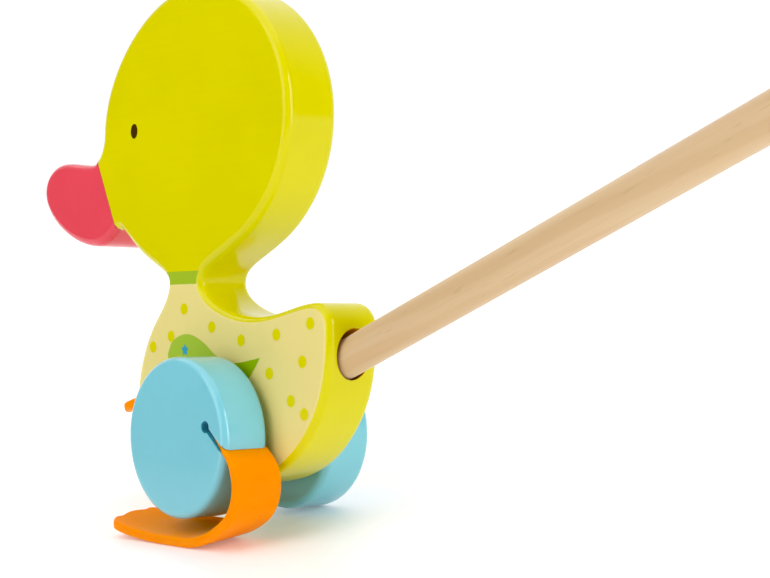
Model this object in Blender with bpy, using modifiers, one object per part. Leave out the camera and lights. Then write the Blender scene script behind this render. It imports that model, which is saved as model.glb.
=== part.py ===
"""Wooden push-along duck with two wheels, flapping rubber feet and a stick handle.

Metres, +Z up, +X towards the beak, +Y to the duck's left. Everything is modelled about the
centre of the axle, and the whole toy is then set down with its lower sole on the floor.
"""
import math

import bmesh
import bpy
from mathutils import Matrix, Vector

# Fits
SEAT_GAP = 0.0003
RUNNING_GAP = 0.0003
THROUGH = 0.010

# The board that makes head, neck and body; heights are above the axle
PANEL_THICKNESS = 0.025
EDGE_ROUNDING = 0.0034
HEAD_X = 0.0227
HEAD_Z = 0.1210
HEAD_LENGTH = 0.1204
HEAD_HEIGHT = 0.1094
NECK_X = 0.0263
NECK_Z = 0.0585
NECK_WIDTH = 0.0216
SADDLE_X = -0.0170
SADDLE_Z = 0.0448
TAIL_REACH = 0.0602
TAIL_TOP = 0.0496
TAIL_CORNER = 0.0095
BELLY_DEPTH = 0.0189
CHEST_REACH = 0.0580
CHEST_Z = 0.0120

# The beak block, glued and dowelled to a flat on the front of the head
BEAK_LENGTH = 0.0455
BEAK_DEPTH = 0.0371
BEAK_DROP = 0.0272
SEAM_LEAN = math.radians(25.0)
SEAM_SET_BACK = 0.0029
DOWEL_RADIUS = 0.0030
DOWEL_DEPTH = 0.0100
DOWEL_SPACING = 0.0150

# Wheels, axle and washers
WHEEL_RADIUS = 0.0300
WHEEL_WIDTH = 0.0208
WHEEL_ROUNDING = 0.0030
AXLE_RADIUS = 0.0050
AXLE_SOCKET_DEPTH = 0.0150
AXLE_CHAMFER = 0.0006
WASHER_RADIUS = 0.0090
WASHER_THICKNESS = 0.0020

# Keyhole across each wheel: a drilled hole with a saw cut running out to the rim
KEYHOLE_OFFSET = 0.0194
KEYHOLE_ANGLE = math.radians(165.7)
KEYHOLE_RADIUS = 0.0024
SLOT_HEADING = math.radians(220.0)
SLOT_WIDTH = 0.0022
RIGHT_WHEEL_TURN = math.radians(76.7)

# Rubber feet: a bead and a thin tongue in the keyhole, then a strap that ends in three toes
FOOT_LENGTH = 0.1020
FOOT_THICKNESS = 0.0038
FOOT_EDGE = 0.0006
FOOT_FLARE = 0.0010
TONGUE_RECESS = 0.0030
BEAD_OVERHANG = 0.0005
SHOULDER_START = 0.0008
SHOULDER_LENGTH = 0.0016
SHOULDER_CORNER = 0.0009
TOE_NOTCH = 0.0017
TOE_STEP = 0.0012
NOTCH_PLACE = 0.50
SOLE_DROP = 0.0049
LEFT_BEND_RADIUS = 0.0150
RIGHT_BEND_RADIUS = 0.0090
HEEL_TURN = math.radians(55.0)
HEEL_SHARE = 0.75
SOLE_FLAT = 0.0130
TOE_CURL_RADIUS = 0.1300
DROOP = math.radians(4.0)

# Handle: a dowel on a hanger bolt that screws into a threaded insert in the tail
HANDLE_RADIUS = 0.0070
HANDLE_LENGTH = 0.5000
HANDLE_RISE = math.radians(21.5)
HANDLE_MOUTH_Z = 0.0313
HANDLE_DOME = 0.0050
SOCKET_RADIUS = 0.0080
SOCKET_DEPTH = 0.0300
STUD_RADIUS = 0.0030
STUD_IN_ROD = 0.0200
STUD_CHAMFER = 0.0006
INSERT_RADIUS = 0.0050
INSERT_LENGTH = 0.0150

# Facets
ROUND_SIDES = 32
WHEEL_SIDES = 72
ROUND_STEPS = 3
OUTLINE_STEPS = 9
FOOT_STATIONS = 44

# Derived sizes
PANEL_HALF = PANEL_THICKNESS / 2
WHEEL_INNER_FACE = PANEL_HALF + WASHER_THICKNESS + 2 * RUNNING_GAP
WHEEL_MIDDLE = WHEEL_INNER_FACE + WHEEL_WIDTH / 2
TONGUE_THICKNESS = SLOT_WIDTH - 2 * SEAT_GAP
QUARTER_ARC = 4 / 3 * math.tan(math.radians(90) / 4)
SIDE_VIEW = Matrix.Rotation(math.radians(90), 4, "X")


def remove_everything():
    """Empty the scene before building."""
    for item in list(bpy.data.objects):
        bpy.data.objects.remove(item, do_unlink=True)


def add_collection(name):
    """New collection under the scene."""
    group = bpy.data.collections.new(name)
    bpy.context.scene.collection.children.link(group)
    return group


def add_material(name, colour, roughness, metallic=0.0):
    """Principled material with one colour."""
    made = bpy.data.materials.new(name)
    made.use_nodes = True
    shader = made.node_tree.nodes["Principled BSDF"]
    shader.inputs["Base Color"].default_value = (*colour, 1.0)
    shader.inputs["Roughness"].default_value = roughness
    shader.inputs["Metallic"].default_value = metallic
    return made


def add_object(name, mesh, group, parent=None, place=None, finish=None):
    """Object for a mesh, under a parent and at a place in the parent's frame."""
    item = bpy.data.objects.new(name, mesh)
    group.objects.link(item)
    item.parent = parent
    item.matrix_basis = place or Matrix.Identity(4)
    if finish:
        mesh.materials.append(finish)
    return item


def add_cutter(name, mesh, parent=None, place=None):
    """Object that only shapes others, so it is hidden in renders."""
    item = add_object(name, mesh, CUTTERS, parent, place)
    item.hide_render = True
    item.display_type = "WIRE"
    return item


def add_empty(name, parent=None, place=None):
    """Empty that marks an axis or a pivot."""
    item = add_object(name, None, PARTS, parent, place)
    item.empty_display_size = 0.02
    return item


def combine(item, tool, operation="DIFFERENCE"):
    """Boolean with another object, left on the object as a modifier."""
    step = item.modifiers.new(tool.name, "BOOLEAN")
    step.operation = operation
    step.solver = "EXACT"
    step.object = tool


def round_edges(item, width, steps):
    """Bevel on the sharp edges only."""
    step = item.modifiers.new("rounding", "BEVEL")
    step.width = width
    step.segments = steps
    step.limit_method = "ANGLE"
    step.angle_limit = math.radians(40)


def smooth(mesh):
    """Shade smooth, with the sharp edges kept."""
    mesh.shade_smooth()
    mesh.set_sharp_from_angle(angle=math.radians(35))
    return mesh


def cylinder_mesh(radius, bottom, top, sides=ROUND_SIDES):
    """Cylinder about local Z from one height to another."""
    work = bmesh.new()
    middle = Matrix.Translation((0, 0, (bottom + top) / 2))
    bmesh.ops.create_cone(work, cap_ends=True, segments=sides, radius1=radius, radius2=radius,
                          depth=top - bottom, matrix=middle)
    mesh = bpy.data.meshes.new("cylinder")
    work.to_mesh(mesh)
    work.free()
    return smooth(mesh)


def box_mesh(low, high):
    """Box between two corners."""
    work = bmesh.new()
    size = Vector(high) - Vector(low)
    middle = (Vector(high) + Vector(low)) / 2
    place = Matrix.Translation(middle) @ Matrix.Diagonal((*size, 1.0))
    bmesh.ops.create_cube(work, size=1.0, matrix=place)
    mesh = bpy.data.meshes.new("box")
    work.to_mesh(mesh)
    work.free()
    return mesh


def turned_mesh(profile, closed=False):
    """Revolve a profile of (radius, height) about local Z; it runs down its outer side."""
    mesh = bpy.data.meshes.new("profile")
    edges = [(i, i + 1) for i in range(len(profile) - 1)]
    if closed:
        edges.append((len(profile) - 1, 0))
    mesh.from_pydata([(radius, 0.0, height) for radius, height in profile], edges, [])
    item = add_cutter("turning", mesh)
    step = item.modifiers.new("turn", "SCREW")
    step.steps = ROUND_SIDES
    step.render_steps = ROUND_SIDES
    step.use_merge_vertices = True
    step.merge_threshold = 0.00001
    return evaluated_mesh(item)


def evaluated_mesh(item):
    """Welded mesh of an object as its modifiers and curve settings shape it; the object goes."""
    bpy.context.view_layer.update()
    shaped = item.evaluated_get(bpy.context.evaluated_depsgraph_get())
    mesh = bpy.data.meshes.new_from_object(shaped)
    bpy.data.objects.remove(item, do_unlink=True)
    work = bmesh.new()
    work.from_mesh(mesh)
    bmesh.ops.remove_doubles(work, verts=work.verts, dist=0.00001)
    bmesh.ops.recalc_face_normals(work, faces=work.faces)
    work.to_mesh(mesh)
    work.free()
    return smooth(mesh)


def outline_mesh(knots, half_thickness, rounding, rounding_steps, steps=OUTLINE_STEPS):
    """Flat outline of Bezier knots in local XY, extruded both ways along Z with rounded edges.

    A knot is (x, y, heading, reach behind, reach ahead), with the heading in degrees.
    """
    data = bpy.data.curves.new("outline", "CURVE")
    data.dimensions = "2D"
    data.fill_mode = "BOTH"
    data.extrude = half_thickness - rounding
    data.bevel_depth = rounding
    data.bevel_resolution = rounding_steps
    data.offset = -rounding
    data.resolution_u = steps
    data.render_resolution_u = 0
    spline = data.splines.new("BEZIER")
    spline.use_cyclic_u = True
    spline.bezier_points.add(len(knots) - 1)
    for point, (x, y, heading, behind, ahead) in zip(spline.bezier_points, knots):
        along = Vector((math.cos(math.radians(heading)), math.sin(math.radians(heading)), 0.0))
        point.handle_left_type = "FREE"
        point.handle_right_type = "FREE"
        point.co = (x, y, 0.0)
        point.handle_left = point.co - along * behind
        point.handle_right = point.co + along * ahead
    return evaluated_mesh(add_cutter("outline", data))


def head_knot(turn, reach_behind, reach_ahead):
    """Knot on the ellipse of the head; the reaches are angles of arc to the next knots."""
    angle = math.radians(turn)
    along = Vector((-HEAD_LENGTH / 2 * math.sin(angle), HEAD_HEIGHT / 2 * math.cos(angle)))
    heading = math.degrees(math.atan2(along.y, along.x))
    behind = along.length * 4 / 3 * math.tan(math.radians(reach_behind) / 4)
    ahead = along.length * 4 / 3 * math.tan(math.radians(reach_ahead) / 4)
    x = HEAD_X + HEAD_LENGTH / 2 * math.cos(angle)
    z = HEAD_Z + HEAD_HEIGHT / 2 * math.sin(angle)
    return (x, z, heading, behind, ahead)


def duck_knots():
    """Side view of the duck with its beak, anticlockwise from the front of the head."""
    head_front = HEAD_X + HEAD_LENGTH / 2
    nape = NECK_X - NECK_WIDTH / 2
    throat = NECK_X + NECK_WIDTH / 2
    beak_tip = head_front + BEAK_LENGTH
    beak_top = HEAD_Z - BEAK_DROP + BEAK_DEPTH / 2
    beak_bottom = HEAD_Z - BEAK_DROP - BEAK_DEPTH / 2
    corner = TAIL_CORNER * QUARTER_ARC
    notch_x = head_front - 0.0113
    notch_z = beak_bottom + 0.0064
    return [
        (head_front, HEAD_Z, 90, 0.0040, HEAD_HEIGHT / 2 * QUARTER_ARC * 0.90),
        head_knot(90, 84, 90),
        head_knot(180, 90, 60),
        head_knot(240, 60, 45),
        (nape, NECK_Z, 270, 0.0060, 0.0060),
        (SADDLE_X, SADDLE_Z, 180, 0.0170, 0.0130),
        (TAIL_CORNER - TAIL_REACH, TAIL_TOP, 180, 0.0100, corner),
        (-TAIL_REACH, TAIL_TOP - TAIL_CORNER, 270, corner, 0.0200),
        (-0.75 * TAIL_REACH, -0.0023, 313, 0.0160, 0.0160),
        (0.0, -BELLY_DEPTH, 0, 0.0170, 0.0330),
        (CHEST_REACH, CHEST_Z, 90, 0.0170, 0.0150),
        (throat + 0.0084, NECK_Z - 0.0140, 132, 0.0070, 0.0060),
        (throat, NECK_Z, 90, 0.0045, 0.0040),
        (throat + 0.0150, NECK_Z + 0.0107, 29, 0.0090, 0.0080),
        (notch_x - 0.0022, notch_z, 36, 0.0070, 0.0012),
        (notch_x + 0.0022, notch_z - 0.0004, 330, 0.0012, 0.0060),
        (head_front + 0.0046, beak_bottom + 0.0003, 0, 0.0060, 0.0200),
        (beak_tip, HEAD_Z - BEAK_DROP + 0.0067, 90, 0.0110, 0.0070),
        (beak_tip - 0.0145, beak_top, 180, 0.0080, 0.0080),
        (head_front + 0.0088, beak_top - 0.0020, 178, 0.0070, 0.0050),
    ]


def line_to_rim():
    """Length of the slot's middle line, from the keyhole's centre out to the rim."""
    lean = SLOT_HEADING - KEYHOLE_ANGLE
    across = KEYHOLE_OFFSET * math.sin(lean)
    return math.sqrt(WHEEL_RADIUS ** 2 - across ** 2) - KEYHOLE_OFFSET * math.cos(lean)


def keyhole_point():
    """Centre of the keyhole in the side view."""
    return KEYHOLE_OFFSET * Vector((math.cos(KEYHOLE_ANGLE), math.sin(KEYHOLE_ANGLE)))


def slot_mouth():
    """Where the slot's middle line leaves the rim, in the side view."""
    return keyhole_point() + line_to_rim() * Vector((math.cos(SLOT_HEADING), math.sin(SLOT_HEADING)))


def walk(start, heading, stretches, distance):
    """Point and heading after a distance along (length, turn) stretches of even curvature."""
    point = start.copy()
    for length, turn in stretches:
        part = min(distance, length)
        swing = turn * part / length
        middle = heading + swing / 2
        chord = part
        if abs(swing) > 1e-9:
            chord = 2 * part / swing * math.sin(swing / 2)
        point = point + chord * Vector((math.cos(middle), math.sin(middle)))
        heading += swing
        distance -= part
        if distance <= 0:
            break
    return point, heading


def root_stretches(bend_radius):
    """Start of either foot: straight out of the slot, then round until it runs along the rim."""
    bend = math.radians(270) - SLOT_HEADING
    return [(line_to_rim() + SHOULDER_START, 0.0), (bend_radius * bend, bend)]


def left_stretches():
    """Left foot, folded under its wheel: round the heel, along the floor and up at the toes."""
    root = root_stretches(LEFT_BEND_RADIUS)
    bend_end, _ = walk(keyhole_point(), SLOT_HEADING, root, 1.0)
    height = bend_end.y + WHEEL_RADIUS + SOLE_DROP + FOOT_THICKNESS / 2
    heel_radius = HEEL_SHARE * height
    turned = math.sin(HEEL_TURN)
    arch_radius = (height - heel_radius * turned) / (1 - turned)
    arch_turn = math.radians(90) - HEEL_TURN
    under = [(heel_radius * HEEL_TURN, HEEL_TURN), (arch_radius * arch_turn, arch_turn), (SOLE_FLAT, 0.0)]
    used = sum(length for length, _ in root + under)
    toe = line_to_rim() + FOOT_LENGTH - used
    return root + under + [(toe, toe / TOE_CURL_RADIUS)]


def standing_lean():
    """Lean of a toy that stands on its left sole and on the outer edge of its right wheel."""
    apart = WHEEL_MIDDLE + WHEEL_INNER_FACE + WHEEL_WIDTH - WHEEL_ROUNDING
    below = SOLE_DROP + FOOT_THICKNESS / 2 + WHEEL_ROUNDING
    thicker = FOOT_THICKNESS / 2 - WHEEL_ROUNDING
    return math.atan2(below, apart) + math.asin(thicker / math.hypot(below, apart))


def right_stretches():
    """Right foot, held out in the air in front of its wheel, with a little droop."""
    root = root_stretches(RIGHT_BEND_RADIUS)
    free = line_to_rim() + FOOT_LENGTH - sum(length for length, _ in root)
    return root + [(free, DROOP)]


def foot_knots():
    """Plan of a foot laid flat: X runs from the keyhole to the toes, Y across the strap."""
    root = line_to_rim()
    tip = root + FOOT_LENGTH
    half = WHEEL_WIDTH / 2
    tongue = half - TONGUE_RECESS
    shoulder = root + SHOULDER_START
    toe_side = half + FOOT_FLARE
    notch = half * NOTCH_PLACE
    toe_tip = tip - TOE_STEP
    corner = SHOULDER_CORNER
    reach = corner * QUARTER_ARC
    left_side = [
        (tip, 0.0, 90, notch * 0.5, notch * 0.55),
        (tip - TOE_NOTCH, notch, 102, notch * 0.22, notch * 0.2),
        (toe_tip, half * 0.78, 110, half * 0.1, half * 0.12),
        (toe_tip - 0.0055, toe_side, 180, 0.0034, 0.0050),
        (toe_tip - 0.0240, half, 180, 0.0070, 0.0100),
        (shoulder + corner, half, 180, 0.0100, reach),
        (shoulder, half - corner, 270, reach, 0.0002),
        (shoulder, tongue + corner, 270, 0.0002, reach),
        (shoulder - corner, tongue, 180, reach, 0.0020),
        (0.0, tongue, 180, 0.0020, 0.0),
    ]
    right_side = [
        (x, -y, 180 - heading, ahead, behind)
        for x, y, heading, behind, ahead in reversed(left_side[1:])
    ]
    return left_side + right_side


def foot_thickness(distance):
    """Tongue thickness in the slot, growing to the full strap beyond the rim."""
    grown = (distance - line_to_rim() - SHOULDER_START) / SHOULDER_LENGTH
    return TONGUE_THICKNESS + (FOOT_THICKNESS - TONGUE_THICKNESS) * min(max(grown, 0.0), 1.0)


def foot_mesh(stretches, twist):
    """Foot bent along its route, in the side view's frame with Y across the strap.

    A twist turns the strap about its route, bit by bit, until it lies along the floor.
    """
    mesh = outline_mesh(foot_knots(), FOOT_THICKNESS / 2, FOOT_EDGE, 0, steps=5)
    work = bmesh.new()
    work.from_mesh(mesh)
    bmesh.ops.dissolve_limit(work, angle_limit=math.radians(0.5), verts=work.verts, edges=work.edges)
    total = line_to_rim() + FOOT_LENGTH
    shoulder = line_to_rim() + SHOULDER_START
    cuts = [shoulder, shoulder + SHOULDER_LENGTH]
    cuts += [shoulder + (total - shoulder) * i / FOOT_STATIONS for i in range(2, FOOT_STATIONS)]
    for cut in cuts:
        everything = work.verts[:] + work.edges[:] + work.faces[:]
        bmesh.ops.bisect_plane(work, geom=everything, plane_co=(cut, 0, 0), plane_no=(1, 0, 0))
    bmesh.ops.remove_doubles(work, verts=work.verts, dist=0.00002)
    twisted = sum(length for length, _ in stretches[:4]) - shoulder
    for vert in work.verts:
        distance, across, above = vert.co
        point, heading = walk(keyhole_point(), SLOT_HEADING, stretches, distance)
        above *= foot_thickness(distance) / FOOT_THICKNESS
        share = min(max((distance - shoulder) / twisted, 0.0), 1.0)
        turn = Matrix.Rotation(twist * share * share * (3 - 2 * share), 3, "X")
        offset = turn @ Vector((-above * math.sin(heading), across, above * math.cos(heading)))
        vert.co = Vector((point.x, 0.0, point.y)) + offset
    bmesh.ops.triangulate(work, faces=work.faces)
    bmesh.ops.recalc_face_normals(work, faces=work.faces)
    work.to_mesh(mesh)
    work.free()
    return smooth(mesh)


def build_panel(root, yellow):
    """The sawn board: head, neck and body in one piece, without the beak."""
    mesh = outline_mesh(duck_knots(), PANEL_HALF, EDGE_ROUNDING, ROUND_STEPS)
    panel = add_object("body_panel", mesh, PARTS, root, SIDE_VIEW, yellow)
    bore = cylinder_mesh(AXLE_RADIUS + RUNNING_GAP, -PANEL_THICKNESS, PANEL_THICKNESS)
    combine(panel, add_cutter("axle_bore", bore, root, SIDE_VIEW))
    return panel


def seam_frame():
    """Frame on the seam between head and beak: X out of the head, Z up the seam, Y across."""
    middle = Vector((HEAD_X + HEAD_LENGTH / 2 - SEAM_SET_BACK, 0.0, HEAD_Z - BEAK_DROP + 0.0039))
    return Matrix.Translation(middle) @ Matrix.Rotation(SEAM_LEAN, 4, "Y")


def build_beak(root, panel, red, wood):
    """Cut the flat on the head, make the beak that sits on it and the dowels between them."""
    seam = seam_frame()
    far = Vector((2 * BEAK_LENGTH, PANEL_THICKNESS, BEAK_DEPTH))
    off_head = box_mesh((-SEAT_GAP / 2, -far.y, -far.z), far)
    combine(panel, add_cutter("beak_flat", off_head, root, seam))
    mesh = outline_mesh(duck_knots(), PANEL_HALF, EDGE_ROUNDING, ROUND_STEPS)
    beak = add_object("beak", mesh, PARTS, root, SIDE_VIEW, red)
    front = box_mesh((SEAT_GAP / 2, -far.y, -far.z), far)
    combine(beak, add_cutter("beak_front", front, root, seam), "INTERSECT")
    across = seam @ Matrix.Rotation(math.radians(90), 4, "Y")
    for name, side in (("upper", -1), ("lower", 1)):
        place = across @ Matrix.Translation((side * DOWEL_SPACING / 2, 0.0, 0.0))
        hole = cylinder_mesh(DOWEL_RADIUS + SEAT_GAP, -DOWEL_DEPTH, DOWEL_DEPTH)
        cutter = add_cutter(name + "_dowel_hole", hole, root, place)
        combine(panel, cutter)
        combine(beak, cutter)
        pin = cylinder_mesh(DOWEL_RADIUS, SEAT_GAP - DOWEL_DEPTH, DOWEL_DEPTH - SEAT_GAP)
        add_object(name + "_beak_dowel", pin, PARTS, root, place, wood)


def build_wheelset(root, blue, wood, plastic, orange):
    """Axle with its two glued wheels, their washers and their feet.

    The wheels are one part: the right one is turned about to face outwards, and then round the axle.
    """
    axis = add_empty("axle_axis", root)
    end = WHEEL_INNER_FACE + AXLE_SOCKET_DEPTH - SEAT_GAP
    axle = add_object("axle", cylinder_mesh(AXLE_RADIUS, -end, end), PARTS, axis, SIDE_VIEW, wood)
    round_edges(axle, AXLE_CHAMFER, 1)
    about = Matrix.Rotation(-RIGHT_WHEEL_TURN, 4, "Y") @ Matrix.Rotation(math.radians(180), 4, "Z")
    sides = (
        ("left", None, left_stretches(), -standing_lean()),
        ("right", about, right_stretches(), 0.0),
    )
    for name, turn, route, twist in sides:
        frame = add_empty(name + "_wheel_frame", axis, turn)
        build_wheel(name, frame, blue, plastic)
        build_foot(name, frame, route, twist, orange)


def build_wheel(name, frame, blue, plastic):
    """One wheel with its blind axle socket and keyhole, and the washer between it and the board."""
    centre = Matrix.Translation((0.0, WHEEL_MIDDLE, 0.0))
    disc = cylinder_mesh(WHEEL_RADIUS, -WHEEL_WIDTH / 2, WHEEL_WIDTH / 2, WHEEL_SIDES)
    wheel = add_object(name + "_wheel", disc, PARTS, frame, centre @ SIDE_VIEW, blue)
    round_edges(wheel, WHEEL_ROUNDING, 4)
    socket = cylinder_mesh(AXLE_RADIUS + SEAT_GAP, 0.0, AXLE_SOCKET_DEPTH + THROUGH)
    deepest = Matrix.Translation((0.0, WHEEL_INNER_FACE + AXLE_SOCKET_DEPTH, 0.0))
    combine(wheel, add_cutter(name + "_axle_socket", socket, frame, deepest @ SIDE_VIEW))

    hole_at = keyhole_point()
    place = centre @ Matrix.Translation((hole_at.x, 0.0, hole_at.y))
    half = WHEEL_WIDTH / 2 + THROUGH
    hole = cylinder_mesh(KEYHOLE_RADIUS, -half, half)
    combine(wheel, add_cutter(name + "_keyhole", hole, frame, place @ SIDE_VIEW))
    saw = box_mesh((0.0, -half, -SLOT_WIDTH / 2), (WHEEL_RADIUS, half, SLOT_WIDTH / 2))
    lean = Matrix.Rotation(-SLOT_HEADING, 4, "Y")
    combine(wheel, add_cutter(name + "_slot", saw, frame, place @ lean))

    ring = [
        (AXLE_RADIUS + RUNNING_GAP, WASHER_THICKNESS / 2),
        (WASHER_RADIUS, WASHER_THICKNESS / 2),
        (WASHER_RADIUS, -WASHER_THICKNESS / 2),
        (AXLE_RADIUS + RUNNING_GAP, -WASHER_THICKNESS / 2),
    ]
    seat = Matrix.Translation((0.0, PANEL_HALF + RUNNING_GAP + WASHER_THICKNESS / 2, 0.0))
    washer = turned_mesh(ring, closed=True)
    add_object(name + "_washer", washer, PARTS, frame, seat @ SIDE_VIEW, plastic)


def build_foot(name, frame, route, twist, orange):
    """One rubber foot, hung from a pivot at the mouth of its wheel's slot."""
    mouth = slot_mouth()
    pivot = add_empty(name + "_foot_pivot", frame, Matrix.Translation((mouth.x, WHEEL_MIDDLE, mouth.y)))
    mesh = foot_mesh(route, twist)
    mesh.transform(Matrix.Translation((-mouth.x, 0.0, -mouth.y)))
    foot = add_object(name + "_foot", mesh, PARTS, pivot, None, orange)
    half = WHEEL_WIDTH / 2 - TONGUE_RECESS + BEAD_OVERHANG
    bead = cylinder_mesh(KEYHOLE_RADIUS - SEAT_GAP, -half, half)
    hole = keyhole_point() - mouth
    centre = Matrix.Translation((hole.x, 0.0, hole.y)) @ SIDE_VIEW
    combine(foot, add_cutter(name + "_bead", bead, pivot, centre), "UNION")


def build_handle(root, panel, wood, steel, brass):
    """Socket in the tail, threaded insert at its bottom, hanger bolt and the dowel handle."""
    lean = Matrix.Rotation(HANDLE_RISE - math.radians(90), 4, "Y")
    mouth = Matrix.Translation((-TAIL_REACH, 0.0, HANDLE_MOUTH_Z))
    axis = add_empty("handle_axis", root, mouth @ lean)
    socket = cylinder_mesh(SOCKET_RADIUS, -SOCKET_DEPTH, 2 * THROUGH)
    combine(panel, add_cutter("handle_socket", socket, axis))
    floor = -SOCKET_DEPTH - INSERT_LENGTH - SEAT_GAP
    pocket = cylinder_mesh(INSERT_RADIUS + SEAT_GAP, floor, THROUGH - SOCKET_DEPTH)
    combine(panel, add_cutter("insert_pocket", pocket, axis))

    bore = STUD_RADIUS + SEAT_GAP
    nut = [
        (bore, -SOCKET_DEPTH),
        (INSERT_RADIUS, -SOCKET_DEPTH),
        (INSERT_RADIUS, -SOCKET_DEPTH - INSERT_LENGTH),
        (bore, -SOCKET_DEPTH - INSERT_LENGTH),
    ]
    add_object("handle_insert", turned_mesh(nut, closed=True), PARTS, axis, None, brass)

    butt = SEAT_GAP - SOCKET_DEPTH
    screw_end = SEAT_GAP - SOCKET_DEPTH - INSERT_LENGTH
    rod_end = butt + STUD_IN_ROD - SEAT_GAP
    stud = [
        (0.0, rod_end),
        (STUD_RADIUS - STUD_CHAMFER, rod_end),
        (STUD_RADIUS, rod_end - STUD_CHAMFER),
        (STUD_RADIUS, screw_end + STUD_CHAMFER),
        (STUD_RADIUS - STUD_CHAMFER, screw_end),
        (0.0, screw_end),
    ]
    add_object("handle_stud", turned_mesh(stud), PARTS, axis, None, steel)

    tip = butt + HANDLE_LENGTH
    dome_steps = 6
    dome = []
    for i in range(dome_steps + 1):
        angle = math.radians(90) * i / dome_steps
        dome.append((HANDLE_RADIUS * math.sin(angle), tip - HANDLE_DOME * (1 - math.cos(angle))))
    rod = dome + [(HANDLE_RADIUS, butt), (bore, butt), (bore, butt + STUD_IN_ROD), (0.0, butt + STUD_IN_ROD)]
    add_object("handle_rod", turned_mesh(rod), PARTS, axis, None, wood)


def set_down(root):
    """Move the toy so that its lowest point is on the floor and its box is centred over the origin."""
    bpy.context.view_layer.update()
    depsgraph = bpy.context.evaluated_depsgraph_get()
    corners = []
    for item in PARTS.objects:
        if item.type == "MESH":
            shaped = item.evaluated_get(depsgraph)
            corners += [shaped.matrix_world @ vert.co for vert in shaped.data.vertices]
    low = [min(corner[k] for corner in corners) for k in range(3)]
    high = [max(corner[k] for corner in corners) for k in range(3)]
    root.location -= Vector(((low[0] + high[0]) / 2, (low[1] + high[1]) / 2, low[2]))


remove_everything()
PARTS = add_collection("push_along_duck")
CUTTERS = add_collection("cutters")

yellow_paint = add_material("yellow_paint", (0.72, 0.66, 0.0), 0.32)
red_paint = add_material("red_paint", (0.78, 0.06, 0.09), 0.35)
blue_paint = add_material("blue_paint", (0.21, 0.60, 0.68), 0.32)
beech = add_material("beech", (0.73, 0.51, 0.29), 0.55)
orange_rubber = add_material("orange_rubber", (1.0, 0.30, 0.0), 0.6)
clear_plastic = add_material("washer_plastic", (0.80, 0.80, 0.78), 0.45)
zinc_steel = add_material("zinc_steel", (0.62, 0.63, 0.65), 0.35, 1.0)
brass_metal = add_material("brass", (0.74, 0.55, 0.24), 0.35, 1.0)

toy = add_empty("toy_origin", None, Matrix.Rotation(standing_lean(), 4, "X"))
board = build_panel(toy, yellow_paint)
build_beak(toy, board, red_paint, beech)
build_wheelset(toy, blue_paint, beech, clear_plastic, orange_rubber)
build_handle(toy, board, beech, zinc_steel, brass_metal)
set_down(toy)
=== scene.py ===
"""Looks of the wooden push-along duck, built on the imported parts.

Metres, +Z up, +X towards the beak, +Y to the duck's left. The pieces are modelled upright about
the centre of the axle, as the parts are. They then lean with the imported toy, which stands on its
left sole and on the outer edge of its right wheel.
"""
import math

import bmesh
import bpy
from mathutils import Matrix, Vector


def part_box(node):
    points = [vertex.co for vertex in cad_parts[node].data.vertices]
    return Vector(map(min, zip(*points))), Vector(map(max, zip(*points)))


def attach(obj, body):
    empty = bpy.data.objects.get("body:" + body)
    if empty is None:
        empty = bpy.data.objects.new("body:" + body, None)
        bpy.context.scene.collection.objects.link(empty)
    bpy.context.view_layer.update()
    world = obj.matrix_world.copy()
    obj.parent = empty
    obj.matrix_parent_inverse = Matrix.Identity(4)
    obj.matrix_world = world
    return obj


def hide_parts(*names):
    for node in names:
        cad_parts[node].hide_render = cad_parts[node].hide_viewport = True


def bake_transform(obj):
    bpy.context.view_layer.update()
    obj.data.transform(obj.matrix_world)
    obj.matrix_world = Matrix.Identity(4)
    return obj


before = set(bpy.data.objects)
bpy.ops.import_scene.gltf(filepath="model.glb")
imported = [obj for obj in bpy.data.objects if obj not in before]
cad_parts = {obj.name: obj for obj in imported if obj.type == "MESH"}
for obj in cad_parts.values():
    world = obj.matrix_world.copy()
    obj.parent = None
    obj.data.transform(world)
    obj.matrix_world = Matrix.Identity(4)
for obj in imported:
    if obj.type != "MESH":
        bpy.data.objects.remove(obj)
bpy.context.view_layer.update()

# Fits and clearances
SEAM_LINE = 0.00006
WELD = 0.00001
SEAT_GAP = 0.0003
RUNNING_GAP = 0.0003
THROUGH = 0.010

# The board that makes head, neck and body; heights are above the axle
PANEL_THICKNESS = 0.025
EDGE_ROUNDING = 0.0034
HEAD_X = 0.0227
HEAD_Z = 0.1210
HEAD_LENGTH = 0.1204
HEAD_HEIGHT = 0.1094
NECK_X = 0.0263
NECK_Z = 0.0585
NECK_WIDTH = 0.0216
SADDLE_X = -0.0170
SADDLE_Z = 0.0448
TAIL_REACH = 0.0602
TAIL_TOP = 0.0496
TAIL_CORNER = 0.0095
BELLY_DEPTH = 0.0189
CHEST_REACH = 0.0580
CHEST_Z = 0.0120
BEAK_NOTCH_X = -0.0113
BEAK_NOTCH_Z = 0.0064
CUT_EDGE = 0.0003

# The beak, glued on at a leaning seam with two dowels
BEAK_LENGTH = 0.0455
BEAK_DEPTH = 0.0371
BEAK_DROP = 0.0272
SEAM_LEAN = math.radians(25.0)
SEAM_SET_BACK = 0.0029
SEAM_RISE = 0.0039
DOWEL_RADIUS = 0.0030
DOWEL_DEPTH = 0.0100
DOWEL_SPACING = 0.0150

# Wheels, each with a keyhole and a saw cut from it to the rim
WHEEL_RADIUS = 0.0300
WHEEL_WIDTH = 0.0208
WHEEL_ROUNDING = 0.0030
WHEEL_FACE_RINGS = (0.25, 0.5, 0.75, 0.92)
AXLE_RADIUS = 0.0050
AXLE_SOCKET_DEPTH = 0.0150
WASHER_THICKNESS = 0.0020
KEYHOLE_OFFSET = 0.0194
KEYHOLE_ANGLE = math.radians(165.7)
KEYHOLE_RADIUS = 0.00215
SLOT_HEADING = math.radians(220.0)
SLOT_WIDTH = 0.0018
RIGHT_WHEEL_TURN = math.radians(76.7)

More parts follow.
